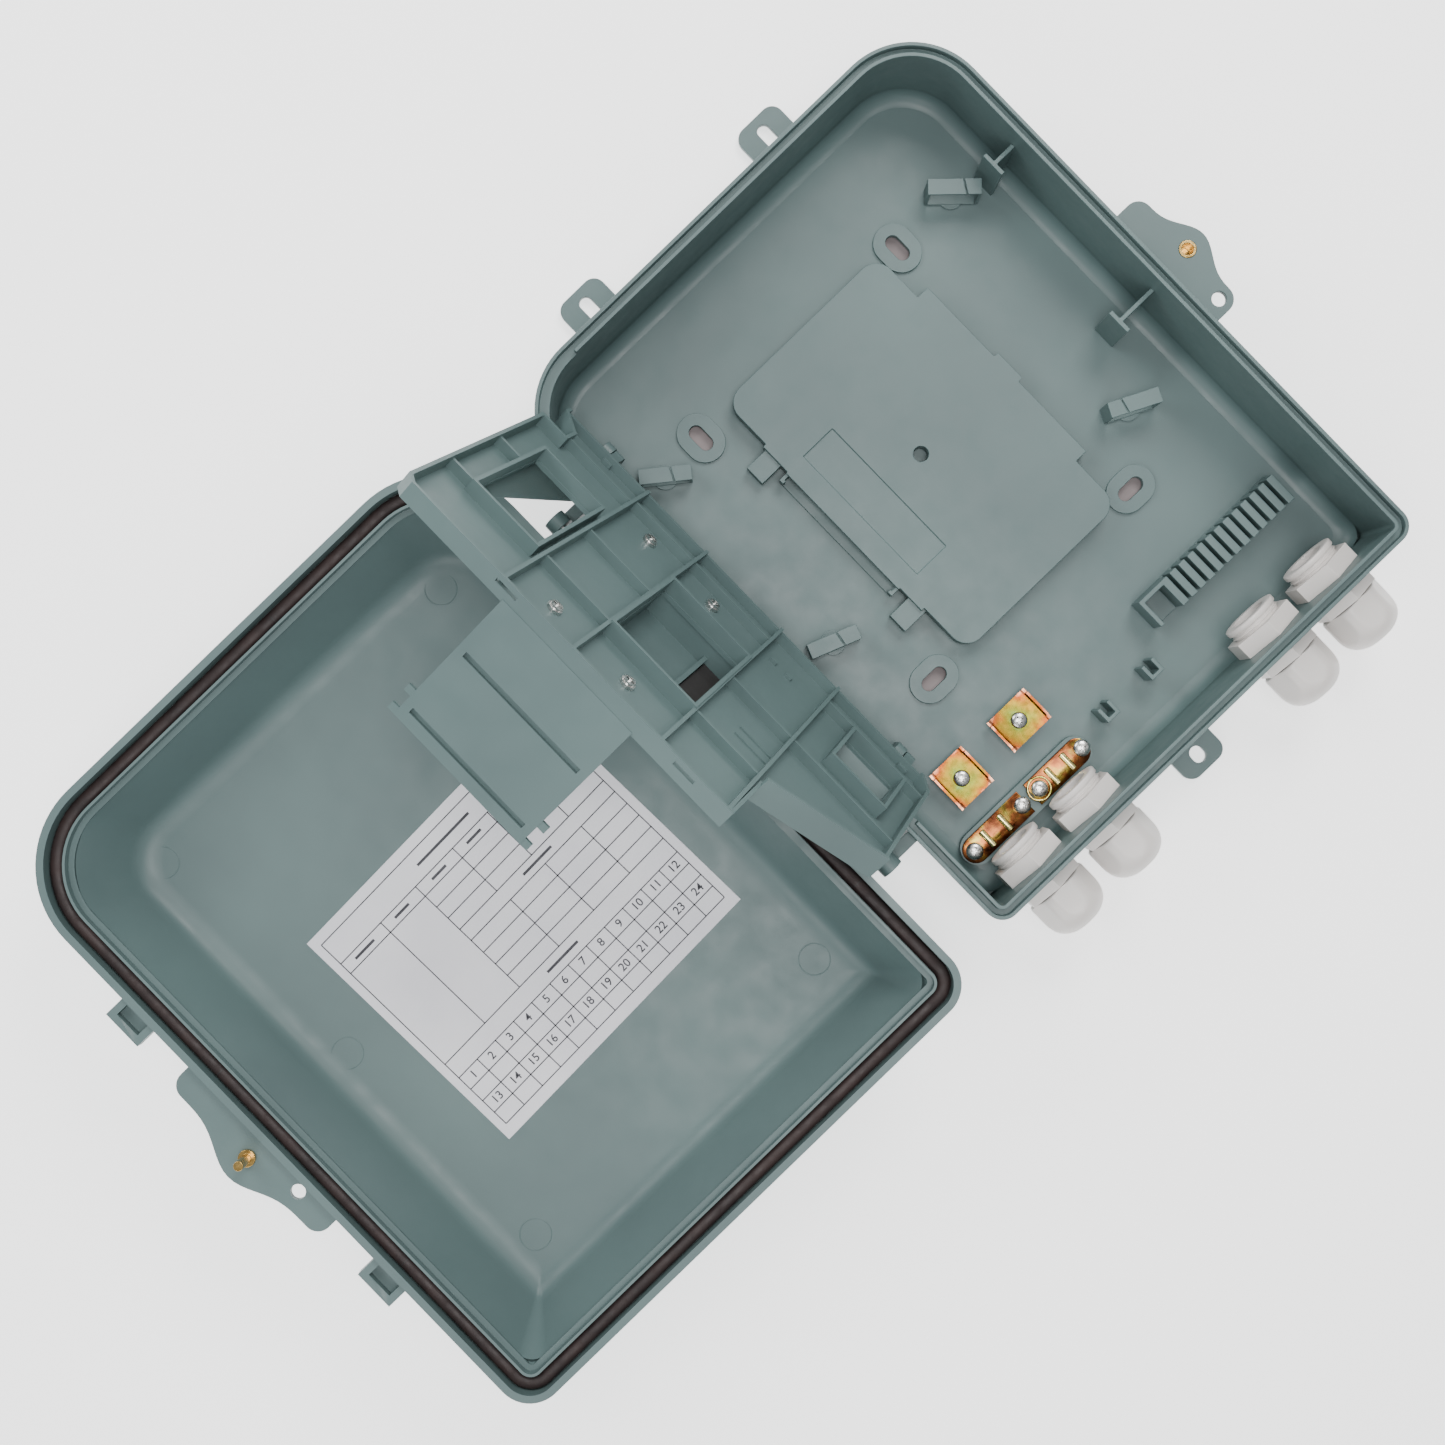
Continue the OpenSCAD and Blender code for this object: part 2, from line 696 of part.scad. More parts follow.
module clamp_plate(i) {
  p = clamp_spots[i];
  sx = clamp_sizes[i][0] / 2;
  sy = clamp_sizes[i][1] / 2;
  color(zinc_yellow) translate([p[0], p[1], boss_top]) difference() {
    union() {
      linear_extrude(1.5) polygon([[-sx, 3 - sy], [3 - sx, -sy], [sx - 3, -sy], [sx, 3 - sy],
        [sx, sy - 3], [sx - 3, sy], [3 - sx, sy], [-sx, sy - 3]]);
      for (s = [-1, 1]) along_x(-sx * 0.55, sx * 1.1)
        polygon([[s * (sy - 1.6), 0], [s * sy, 0], [s * (sy + 1), 4.5], [s * (sy - 0.6), 4.5]]);
    }
    translate([0, 0, -1]) cylinder(d = 4.3, h = 4, $fn = 32);
  }
}

module clamp_screw(i) {
  p = clamp_spots[i];
  color(steel) translate([p[0], p[1], boss_top + 1.5]) pan_screw(4, 9, 3.2, 6);
}

module earth_plinth() {
  len = earth_ends[0] - earth_ends[1];
  mid = (earth_ends[0] + earth_ends[1]) / 2;
  color(body_grey) translate([earth_x, mid, floor_t]) difference() {
    linear_extrude(6) rotate(90) stadium(len, 19);
    for (y = earth_screw_y) translate([0, y - mid, 1]) cylinder(d = 4.3, h = 8, $fn = 32);
  }
}

module earth_strip(i) {
  y0 = earth_strip_ends[i][1];
  y1 = earth_strip_ends[i][0];
  color(zinc_yellow) translate([earth_x, 0, floor_t + 6]) difference() {
    union() {
      linear_extrude(1.5) difference() {
        translate([-7.5, y0]) square([15, y1 - y0]);
        for (s = [-1, 1]) translate([s * 8, (y0 + y1) / 2]) circle(r = 2.4, $fn = 32);
      }
      for (k = [0.36, 0.64]) translate([0, y0 + k * (y1 - y0), 1]) rotate([0, 90, 0])
        cylinder(r = 1.8, h = 11, center = true, $fn = 32);
    }
    for (y = earth_screw_y) translate([0, y, -2]) cylinder(d = 5.2, h = 8, $fn = 32);
    translate([-10, -200, -5]) cube([20, 200, 5]);
  }
}

module earth_screws() {
  color(steel) for (y = earth_screw_y) translate([earth_x, y, floor_t + 7.5]) rotate(30 + y) pan_screw(4.2, 9.5, 3.5, 6);
}

// ---- Glands ---------------------------------------------------------------------------------

module on_gland(i) {
  translate([0, gland_y[i], gland_z]) rotate([0, 90, 0]) children();
}

module hexagon(af) {
  circle(d = af / cos(30), $fn = 6);
}

module gland_body(i) {
  color(gland_grey) on_gland(i) difference() {
    union() {
      translate([0, 0, nut_from - 7]) cylinder(d = gland_d, h = pad_face + washer_t - nut_from + 8);
      translate([0, 0, pad_face + washer_t]) linear_extrude(collar_t) hexagon(33);
      translate([0, 0, collar_to - 1]) cylinder(d = 25.5, h = 13);
    }
    translate([0, 0, nut_from - 10]) cylinder(d = gland_bore, h = 80);
  }
}

module gland_cap(i) {
  h = cap_to - collar_to;
  color(gland_grey) on_gland(i) translate([0, 0, collar_to + 0.4]) difference() {
    union() {
      intersection() {
        linear_extrude(15) circle(d = 38, $fn = 12);
        cylinder(r = 18.4, h = 15);
      }
      rotate_extrude() polygon([[0, 14], [18, 14], [17.4, 17], [16, 20], [13.6, 23], [10.5, h - 0.4], [0, h - 0.4]]);
    }
    rotate_extrude() polygon([[0, -1], [13.3, -1], [13.3, 16], [10.2, 22.2], [0, 22.2]]);
    cylinder(d = 17, h = 40);
  }
}

module gland_seal(i) {
  color([0.2, 0.2, 0.2]) on_gland(i) translate([0, 0, seal_from]) difference() {
    cylinder(d = 19.4, h = seal_to - seal_from - 1);
    translate([0, 0, -1]) cylinder(d = seal_bore, h = 30);
  }
}

module gland_locknut(i) {
  color(gland_grey) on_gland(i) translate([0, 0, nut_from]) difference() {
    linear_extrude(cavity_x - nut_from) hexagon(36);
    translate([0, 0, -1]) cylinder(d = gland_d + 0.04, h = 20);
  }
}

module gland_washer(i) {
  color(gasket_brown) on_gland(i) translate([0, 0, pad_face]) difference() {
    cylinder(d = 36, h = washer_t);
    translate([0, 0, -1]) cylinder(d = gland_d + 0.04, h = 5);
  }
}

// ---- Choice of node -------------------------------------------------------------------------

base_shell();
base_floor();
floor_posts();
cover_shell();
cover_gasket();
record_card();
hinge_pin(-1);  // hinge_pin_1
hinge_pin(1);  // hinge_pin_2
adapter_panel();
port_blank();
panel_pin(post_x[0]);  // panel_pin_1
panel_pin(post_x[1]);  // panel_pin_2
panel_screws();
splice_tray();
splice_tray_lid();
splice_holder();
fiber_clip(0);  // fiber_clip_1
fiber_clip(1);  // fiber_clip_2
fiber_clip(2);  // fiber_clip_3
fiber_clip(3);  // fiber_clip_4
cable_comb();
clamp_plate(0);  // clamp_plate_1
clamp_plate(1);  // clamp_plate_2
clamp_screw(0);  // clamp_screw_1
clamp_screw(1);  // clamp_screw_2
earth_plinth();
earth_strip(0);  // earth_strip_1
earth_strip(1);  // earth_strip_2
earth_screws();
latch_insert();
latch_screw();
gland_body(0);  // gland_body_1
gland_body(1);  // gland_body_2
gland_body(2);  // gland_body_3
gland_body(3);  // gland_body_4
gland_cap(0);  // gland_cap_1
gland_cap(1);  // gland_cap_2
gland_cap(2);  // gland_cap_3
gland_cap(3);  // gland_cap_4
gland_seal(0);  // gland_seal_1
gland_seal(1);  // gland_seal_2
gland_seal(2);  // gland_seal_3
gland_seal(3);  // gland_seal_4
gland_locknut(0);  // gland_locknut_1
gland_locknut(1);  // gland_locknut_2
gland_locknut(2);  // gland_locknut_3
gland_locknut(3);  // gland_locknut_4
gland_washer(0);  // gland_washer_1
gland_washer(1);  // gland_washer_2
gland_washer(2);  // gland_washer_3
gland_washer(3);  // gland_washer_4
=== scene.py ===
"""Looks of an open fiber termination box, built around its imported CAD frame.

Blender's units are metres. Shapes are given in millimetres, in the frame's own axes: +X is the cable end,
+Y the latch side and +Z up from the base's back. Pieces of the cover are given as when it is shut.
"""

import json
import math

import bpy
from mathutils import Euler, Matrix, Vector


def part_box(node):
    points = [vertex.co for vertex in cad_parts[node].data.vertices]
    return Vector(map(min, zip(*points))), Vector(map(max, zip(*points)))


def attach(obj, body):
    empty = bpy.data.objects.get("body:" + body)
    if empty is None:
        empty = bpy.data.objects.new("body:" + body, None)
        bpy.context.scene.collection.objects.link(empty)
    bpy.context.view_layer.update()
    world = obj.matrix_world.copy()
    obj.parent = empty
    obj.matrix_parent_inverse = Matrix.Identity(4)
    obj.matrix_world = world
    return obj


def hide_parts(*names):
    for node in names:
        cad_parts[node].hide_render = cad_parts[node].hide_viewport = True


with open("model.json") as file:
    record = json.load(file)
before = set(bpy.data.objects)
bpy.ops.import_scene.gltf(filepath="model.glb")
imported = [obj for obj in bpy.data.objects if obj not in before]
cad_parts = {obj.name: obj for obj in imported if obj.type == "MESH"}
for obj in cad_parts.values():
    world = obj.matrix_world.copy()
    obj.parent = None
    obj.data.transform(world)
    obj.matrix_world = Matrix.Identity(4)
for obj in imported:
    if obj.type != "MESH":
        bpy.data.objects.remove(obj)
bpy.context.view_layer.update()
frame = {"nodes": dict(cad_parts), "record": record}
NODES = frame["nodes"]
MM = 0.001

# Dimensions of the box, in millimetres
HALF_LEN = 188
HALF_WIDE = 150
ROUND_R = 45  # plan radius of the two large corners
CABLE_R = 10  # plan radius of the two corners at the cable end
HINGE_Y = -169.5  # axis of the cover's hinge
HINGE_Z = 68
PANEL_HINGE = (0, -124, 29)
PANEL_TURN = 117.5  # degrees from the panel's flat place to where it is drawn
FLANGE_AT = (-56, 191, 0)  # foot of the panel's flange, from the panel's hinge
FLANGE_TILT = 80
GLAND_Y = (105, 62, -70, -113)
GLAND_Z = 32
CAP_X = 196.4  # foot of each gland's cap
THREAD_X = 163.9  # inner end of each gland's thread
CLAMPS = ((122, -63, 11, 14), (123, -107.5, 13, 12))  # centre and half sizes of each clamp plate
PLATE_TOP = 10.5  # top of the clamp plates and earth strips, where their screws bear
EARTH_X = 156.5  # middle line of the earth bar
EARTH_SCREW_Y = (-49, -81, -94, -130)
CARD_X = 151
CARD_Y = 179
CARD_CENTRE = (13, -8)
CARD_TOP = 107.42  # just clear of the card's face in the shut cover


# ---- Colours and materials -------------------------------------------------------------------

def colour(red, green, blue):
    """A colour given as 0 to 255 display values, as the shader's linear numbers."""
    values = []
    for part in (red, green, blue):
        part /= 255
        values.append(part / 12.92 if part <= 0.04045 else ((part + 0.055) / 1.055) ** 2.4)
    return (*values, 1.0)


class Shader:
    """A new material with a Principled shader and short calls to add texture nodes to it."""

    def __init__(self, name):
        self.material = bpy.data.materials.new(name)
        self.material.use_nodes = True
        self.tree = self.material.node_tree
        self.surface = self.tree.nodes["Principled BSDF"]
        self.place = self.add("ShaderNodeTexCoord").outputs["Object"]

    def add(self, kind, **settings):
        node = self.tree.nodes.new(kind)
        for key, value in settings.items():
            setattr(node, key, value)
        return node

    def link(self, source, target):
        self.tree.links.new(source, target)

    def set(self, **sockets):
        for key, value in sockets.items():
            self.surface.inputs[key.replace("_", " ")].default_value = value

    def noise(self, scale, detail=3.0):
        node = self.add("ShaderNodeTexNoise")
        node.inputs["Scale"].default_value = scale
        node.inputs["Detail"].default_value = detail
        self.link(self.place, node.inputs["Vector"])
        return node.outputs["Fac"]

    def ramp(self, factor, stops):
        node = self.add("ShaderNodeValToRGB")
        band = node.color_ramp
        while len(band.elements) < len(stops):
            band.elements.new(0.5)
        for element, (position, value) in zip(band.elements, stops):
            element.position = position
            element.color = value
        self.link(factor, node.inputs["Fac"])
        return node.outputs["Color"]

    def spread(self, factor, low, high):
        """Stretches the middle of a noise's values, 0.3 to 0.7, over low to high."""
        node = self.add("ShaderNodeMapRange")
        node.inputs["From Min"].default_value = 0.3
        node.inputs["From Max"].default_value = 0.7
        node.inputs["To Min"].default_value = low
        node.inputs["To Max"].default_value = high
        self.link(factor, node.inputs["Value"])
        return node.outputs["Result"]

    def relief(self, layers):
        """Bump from (height, strength, distance) layers."""
        normal = None
        for height, strength, distance in layers:
            bump = self.add("ShaderNodeBump")
            bump.inputs["Strength"].default_value = strength
            bump.inputs["Distance"].default_value = distance
            self.link(height, bump.inputs["Height"])
            if normal is not None:
                self.link(normal, bump.inputs["Normal"])
            normal = bump.outputs["Normal"]
        self.link(normal, self.surface.inputs["Normal"])

    def paint(self, factor, stops):
        self.link(self.ramp(factor, stops), self.surface.inputs["Base Color"])

    def rough(self, factor, low, high):
        self.link(self.spread(factor, low, high), self.surface.inputs["Roughness"])


def moulded(name, dark, light, rough=(0.38, 0.52), grain=0.12):
    """Satin moulded plastic: slow colour drift, fine spark-eroded grain and faint flow waviness."""
    shader = Shader(name)
    shader.paint(shader.noise(9, 4), [(0.3, dark), (0.7, light)])
    shader.rough(shader.noise(70, 3), *rough)
    shader.relief([(shader.noise(14, 2), 0.03, 2 * MM), (shader.noise(2600, 2), grain, 0.1 * MM)])
    return shader.material


def metal(name, stops, rough=(0.2, 0.34)):
    """Plated or turned metal that drifts between the tints in stops, with fine scuffs."""
    shader = Shader(name)
    shader.set(Metallic=1.0)
    shader.paint(shader.noise(60, 3), stops)
    shader.rough(shader.noise(400, 3), *rough)
    shader.relief([(shader.noise(1500, 2), 0.1, 0.1 * MM)])
    return shader.material


def rubber(name, dark, light):
    """Matt surface with a fine, uneven skin."""
    shader = Shader(name)
    shader.paint(shader.noise(55, 4), [(0.3, dark), (0.7, light)])
    shader.rough(shader.noise(180, 3), 0.5, 0.75)
    shader.relief([(shader.noise(120, 3), 0.2, 0.5 * MM), (shader.noise(1800, 2), 0.3, 0.15 * MM)])
    return shader.material


def paper(name):
    """Faintly mottled white paper."""
    shader = Shader(name)
    shader.paint(shader.noise(25, 4), [(0.3, colour(216, 215, 221)), (0.7, colour(227, 226, 230))])
    shader.rough(shader.noise(300, 3), 0.6, 0.75)
    shader.relief([(shader.noise(900, 4), 0.15, 0.1 * MM)])
    return shader.material


GREY = moulded("grey_moulded", colour(79, 97, 97), colour(90, 110, 109))
GLAND = moulded("gland_grey", colour(204, 199, 195), colour(218, 213, 209), (0.3, 0.42), 0.05)
BLACK = moulded("black_insert", colour(34, 31, 31), colour(46, 43, 42), (0.5, 0.65), 0.15)
GASKET = rubber("gasket_rubber", colour(30, 20, 20), colour(47, 33, 31))
SEAL = rubber("seal_rubber", colour(28, 28, 28), colour(42, 42, 42))
PAPER = paper("card_paper")
INK = rubber("card_ink", colour(44, 44, 50), colour(66, 66, 72))
STEEL = metal("bright_steel", [(0.3, colour(196, 196, 194)), (0.7, colour(222, 221, 218))])
BRASS = metal("turned_brass", [(0.3, colour(196, 160, 92)), (0.7, colour(222, 190, 126))], (0.16, 0.28))
ZINC = metal("yellow_zinc", [(0.3, colour(150, 92, 52)), (0.45, colour(226, 206, 128)),
                             (0.55, colour(168, 160, 74)), (0.7, colour(190, 112, 84))], (0.12, 0.26))


def passivated(name, centre, reach):
    """Yellow passivated zinc: a teal patch at the centre, then olive, with copper and pink at the edges."""
    shader = Shader(name)
    shader.set(Metallic=1.0)
    away = shader.add("ShaderNodeVectorMath", operation="DISTANCE")
    shader.link(shader.place, away.inputs[0])
    away.inputs[1].default_value = centre
    shift = shader.add("ShaderNodeMath", operation="MULTIPLY_ADD")
    shader.link(shader.noise(110, 3), shift.inputs[0])
    shift.inputs[1].default_value = 0.7 * reach
    shift.inputs[2].default_value = -0.35 * reach
    total = shader.add("ShaderNodeMath", operation="ADD")
    shader.link(away.outputs["Value"], total.inputs[0])
    shader.link(shift.outputs[0], total.inputs[1])
    share = shader.add("ShaderNodeMath", operation="DIVIDE")
    shader.link(total.outputs[0], share.inputs[0])
    share.inputs[1].default_value = reach
    shader.paint(share.outputs[0], [(0.15, colour(62, 96, 70)), (0.3, colour(98, 100, 34)),
                                    (0.55, colour(122, 94, 28)), (0.75, colour(136, 66, 30)),
                                    (0.95, colour(206, 150, 122))])
    shader.rough(shader.noise(300, 3), 0.2, 0.34)
    shader.relief([(shader.noise(60, 3), 0.25, 0.5 * MM)])
    return shader.material


SLOT_LOOK = {"grey_plastic": GREY, "gasket_rubber": GASKET, "paper": PAPER, "steel": STEEL,
             "light_plastic": GLAND, "yellow_zinc": ZINC, "brass": BRASS, "black_plastic": BLACK,
             "black_rubber": SEAL}


# ---- CAD nodes: soft edges and a material each -------------------------------------------------

EDGE = {"base_shell": 0.6, "base_floor": 0.5, "floor_posts": 0.4, "cover_shell": 0.6, "adapter_panel": 0.35,
        "splice_tray": 0.5, "splice_tray_lid": 0.5, "cable_comb": 0.4, "earth_plinth": 0.8}
SMALL_EDGE = 0.25


def soften(piece, width, merge_flats):
    """Rounds the edges of a faceted part without touching its own mesh."""
    weld = piece.modifiers.new("weld", "WELD")
    weld.merge_threshold = 0.002 * MM
    if merge_flats:
        flat = piece.modifiers.new("flat", "DECIMATE")
        flat.decimate_type = "DISSOLVE"
        flat.angle_limit = math.radians(0.4)
    bevel = piece.modifiers.new("bevel", "BEVEL")
    bevel.width = width
    bevel.segments = 2
    bevel.limit_method = "ANGLE"
    bevel.angle_limit = math.radians(32)
    bevel.miter_outer = "MITER_ARC"
    normals = piece.modifiers.new("normals", "WEIGHTED_NORMAL")
    normals.weight = 60
    piece.data.polygons.foreach_set("use_smooth", [True] * len(piece.data.polygons))


for part in frame["record"]["subparts"]:
    node = NODES[part["node"]]
    node.data.materials.clear()
    node.data.materials.append(SLOT_LOOK[part["material_slot"]])
    # merging the cover's flats leaves a sliver at a hook clip
    soften(node, EDGE.get(part["node"], SMALL_EDGE) * MM, part["node"] != "cover_shell")


def strip_zinc():
    """Earth bar finish: dark copper-brown zinc on the flats, with a painted highlight that turns the raised
    ridges pale yellow by their height.
    """
    shader = Shader("strip_zinc")
    shader.set(Metallic=1.0)
    axes = shader.add("ShaderNodeSeparateXYZ")
    shader.link(shader.place, axes.inputs[0])
    # painted highlight: colour brightens with height, so the ridges' tops look lit
    ridge_highlight = shader.add("ShaderNodeMapRange")
    shader.link(axes.outputs["Z"], ridge_highlight.inputs["Value"])
    ridge_highlight.inputs["From Min"].default_value = 10.6 * MM
    ridge_highlight.inputs["From Max"].default_value = 11.9 * MM
    ridge_highlight.inputs["To Max"].default_value = 0.7
    total = shader.add("ShaderNodeMath", operation="MULTIPLY_ADD")
    shader.link(shader.noise(130, 3), total.inputs[0])
    total.inputs[1].default_value = 0.9
    shader.link(ridge_highlight.outputs["Result"], total.inputs[2])
    shader.paint(total.outputs[0], [(0.3, colour(104, 58, 38)), (0.45, colour(140, 84, 46)),
                                    (0.6, colour(150, 134, 60)), (0.85, colour(246, 232, 160))])
    shader.rough(shader.noise(300, 3), 0.14, 0.26)
    shader.relief([(shader.noise(90, 3), 0.3, 0.5 * MM)])
    return shader.material


STRIP_ZINC_AND_HIGHLIGHT = strip_zinc()
for plate in ("clamp_plate_1", "clamp_plate_2"):
    low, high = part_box(plate)
    middle = [(a + b) / 2 for a, b in zip(low, high)]
    NODES[plate].data.materials[0] = passivated(plate + "_zinc", (middle[0], middle[1], low[2]), 19 * MM)


# ---- Mesh helpers; lengths in millimetres ------------------------------------------------------

def mesh_object(name, verts, faces):
    """A plain object in the scene from vertices in millimetres."""
    piece = bpy.data.objects.new(name, bpy.data.meshes.new(name))
    piece.data.from_pydata([tuple(c * MM for c in v) for v in verts], [], faces)
    bpy.context.collection.objects.link(piece)
    return piece


def build(name, verts, faces, look, body, turn=None, sharp=38):
    """A smooth piece, turned into place, that rides on a body."""
    if turn is not None:
        verts = [turn @ Vector(v) for v in verts]
    piece = mesh_object(name, verts, faces)
    piece.data.validate()
    piece.data.shade_smooth()
    piece.data.set_sharp_from_angle(angle=math.radians(sharp))
    piece.data.materials.append(look)
    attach(piece, body)
    return piece


def add_part(verts, faces, points, sides):
    """Adds one part's points and sides to the lists of a piece that is made of several."""
    start = len(verts)
    verts += points
    faces += [tuple(start + i for i in side) for side in sides]


def loft(rings, closed=False):
    """Vertices and faces of a skin through rings with the same number of points."""
    count = len(rings[0])
    verts = [point for ring in rings for point in ring]
    faces = []
    for i in range(len(rings) if closed else len(rings) - 1):
        a = i * count
        b = (i + 1) % len(rings) * count
        for j in range(count):
            k = (j + 1) % count
            faces.append((a + j, a + k, b + k, b + j))
    return verts, faces


def lathe(profile, steps=64, closed=False):
    """Turns (radius, height) points about Z."""
    rings = []
    for radius, height in profile:
        angles = [2 * math.pi * i / steps for i in range(steps)]
        rings.append([(radius * math.cos(t), radius * math.sin(t), height) for t in angles])
    return loft(rings, closed)


def outline(inset, height, round_r=ROUND_R, cable_r=CABLE_R):
    """The box's rounded plan outline at a height: large corners at -X, small ones at the cable end."""
    x, y = HALF_LEN - inset, HALF_WIDE - inset
    a, b = max(round_r - inset, 3), max(cable_r - inset, 1.2)
    steps = 14
    points = []
    for cx, cy, radius, start in ((x - b, y - b, b, 0), (a - x, y - a, a, 90),
                                  (a - x, a - y, a, 180), (x - b, b - y, b, 270)):
        for i in range(steps + 1):
            t = math.radians(start + 90 * i / steps)
            points.append((cx + radius * math.cos(t), cy + radius * math.sin(t), height))
    return points


# turns a piece of the shut cover about the hinge, to where the cover is drawn
OPENED = Matrix(((1, 0, 0, 0), (0, -1, 0, 2 * HINGE_Y), (0, 0, -1, 2 * HINGE_Z), (0, 0, 0, 1)))


def along_gland(x, y):
    """Turns a piece's own Z along a gland's axis, outwards from a place on it."""
    return Matrix(((0, 0, 1, x), (0, 1, 0, y), (-1, 0, 0, GLAND_Z), (0, 0, 0, 1)))


# ---- Skins that round the mouldings' inner corners ---------------------------------------------

def cover_liner():
    """Smooth inner skin of the cover, a hair inside the moulding."""
    profile = [(6.8, 67.2), (10.8, 75.5), (14.9, 84), (19, 92.5), (22.3, 99), (23.8, 102), (25.8, 104.4),
               (28.6, 106.3), (32.4, 107.4), (37, 107.75)]
    rings = [outline(inset, height, ROUND_R + 0.5 + 0.3 * inset, CABLE_R + 4 + 0.55 * inset)
             for inset, height in profile]
    verts, faces = loft(rings)
    count = len(rings[0])
    faces.append(tuple(range(len(verts) - count, len(verts))))
    build("cover_liner", verts, faces, GREY, "cover", OPENED, 50)


def ejector_marks():
    """Faint rings that the mould's ejector pins left on the cover's floor."""
    verts, faces = [], []
    for x, y in ((-146, -100), (-144, 109), (-2, 109), (138, 104), (136, -106)):
        ring, sides = lathe([(8.2, 107.8), (8.4, 107.55), (8.7, 107.55), (8.9, 107.8)], 40)
        add_part(verts, faces, [(x + px, y + py, pz) for px, py, pz in ring], sides)
    build("cover_ejector_marks", verts, faces, GREY, "cover", OPENED, 60)


def base_fillet():
    """Rounded corner between the base's walls and its floor."""
    radius, wall, top = 8, 7.6, 3.1
    profile = [(wall + radius * (1 - math.cos(t)), top + radius * (1 - math.sin(t)))
               for t in (math.pi / 2 * k / 7 for k in range(8))]
    rings = [outline(inset, height, ROUND_R, CABLE_R + 1 + 0.8 * inset) for inset, height in profile]
    verts, faces = loft(rings)
    build("base_fillet", verts, faces, GREY, "base", None, 60)


# ---- Gasket ------------------------------------------------------------------------------------

GASKET_SECTION = [(-4.5, 66.1), (-4.6, 64.9), (-4.1, 63.5), (-2.9, 62.6), (-1.2, 62.35), (0.5, 62.5),
                  (1.8, 63.3), (2.6, 64.6), (2.65, 66.1)]  # inset from the outline, and height


def gasket():
    """Round-topped rubber strip in the cover's channel."""
    verts, faces = loft([outline(inset, height) for inset, height in GASKET_SECTION])
    strip = build("gasket_strip", verts, faces, GASKET, "cover", OPENED, 60)
    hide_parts("cover_gasket")


def gasket_joints():
    """Dark lines across the strip where its lengths are glued end to end."""
    verts, faces = [], []
    count = len(GASKET_SECTION)
    sides = [(i, i + 1, count + i + 1, count + i) for i in range(count - 1)]
    for x, y, turn in ((-40, 151, 0), (96, 151, 0), (118, -151, 0), (-188.9, -30, 90)):
        c, s = math.cos(math.radians(turn)), math.sin(math.radians(turn))
        flip = -1 if y > 0 else 1
        points = []
        for px in (0.25, -0.25):
            for inset, height in GASKET_SECTION:
                py = flip * (inset + 0.95)
                points.append((x + c * px - s * py, y + s * px + c * py, height - 0.12))
        add_part(verts, faces, points, sides)
    build("gasket_joints", verts, faces, BLACK, "cover", OPENED, 60)


# ---- Glands ------------------------------------------------------------------------------------

CAP_FLAT = 16.9  # half the width across the cap's flats
CAP_PROFILE = [(13.4, 0.2), (16.9, 0), (17.9, 0.5), (18.3, 1.4), (18.3, 5), (18.3, 9), (18.25, 12),
               (18.1, 14), (17.7, 16), (17.1, 18), (16.1, 20), (14.7, 21.8), (12.8, 23.4), (10.6, 24.7),
               (9.3, 25.2), (8.7, 25.1), (8.5, 24.6), (8.5, 22.4)]  # radius, and height from the cap's foot


def flatted(radius, height, angle):
    """Radius of the cap at an angle: six broad flats that run out into the domed end."""
    off = (angle + math.pi / 6) % (math.pi / 3) - math.pi / 6
    apothem = CAP_FLAT + 0.0028 * max(height - 11, 0) ** 2.4
    flat = apothem / math.cos(off)
    gap = radius - flat
    return radius - 0.5 * (gap + math.sqrt(gap * gap + 0.02)) if radius > 12 else radius


def gland_cap(i, y):
    """Domed cap with six flats, which replaces the plain CAD cap."""
    steps = 96
    rings = []
    for radius, height in CAP_PROFILE:
        ring = []
        for k in range(steps):
            t = 2 * math.pi * k / steps
            rr = flatted(radius, height, t) if height > 0.4 else radius
            ring.append((rr * math.cos(t), rr * math.sin(t), height))
        rings.append(ring)
    verts, faces = loft(rings)
    turn = along_gland(CAP_X, y)
    cap = build("cap_%d" % i, verts, faces, GLAND, "gland_cap_%d" % i, turn, 26)
    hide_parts("gland_cap_%d" % i)


def gland_thread(i, y):
    """Thread that stands proud inside the box, and its rounded end."""
    profile = [(9.9, 0.3), (10.6, 0), (15, 0), (15.5, 0.3), (15.6, 0.8), (15.6, 2.8), (15.3, 3.2),
               (14.25, 3.5), (14.2, 4.7), (15, 5.1), (15, 5.5), (14.2, 5.9), (14.2, 7.2)]
    verts, faces = lathe(profile, 72)
    build("thread_%d" % i, verts, faces, GLAND, "base", along_gland(THREAD_X, y), 40)


# ---- Screws ------------------------------------------------------------------------------------

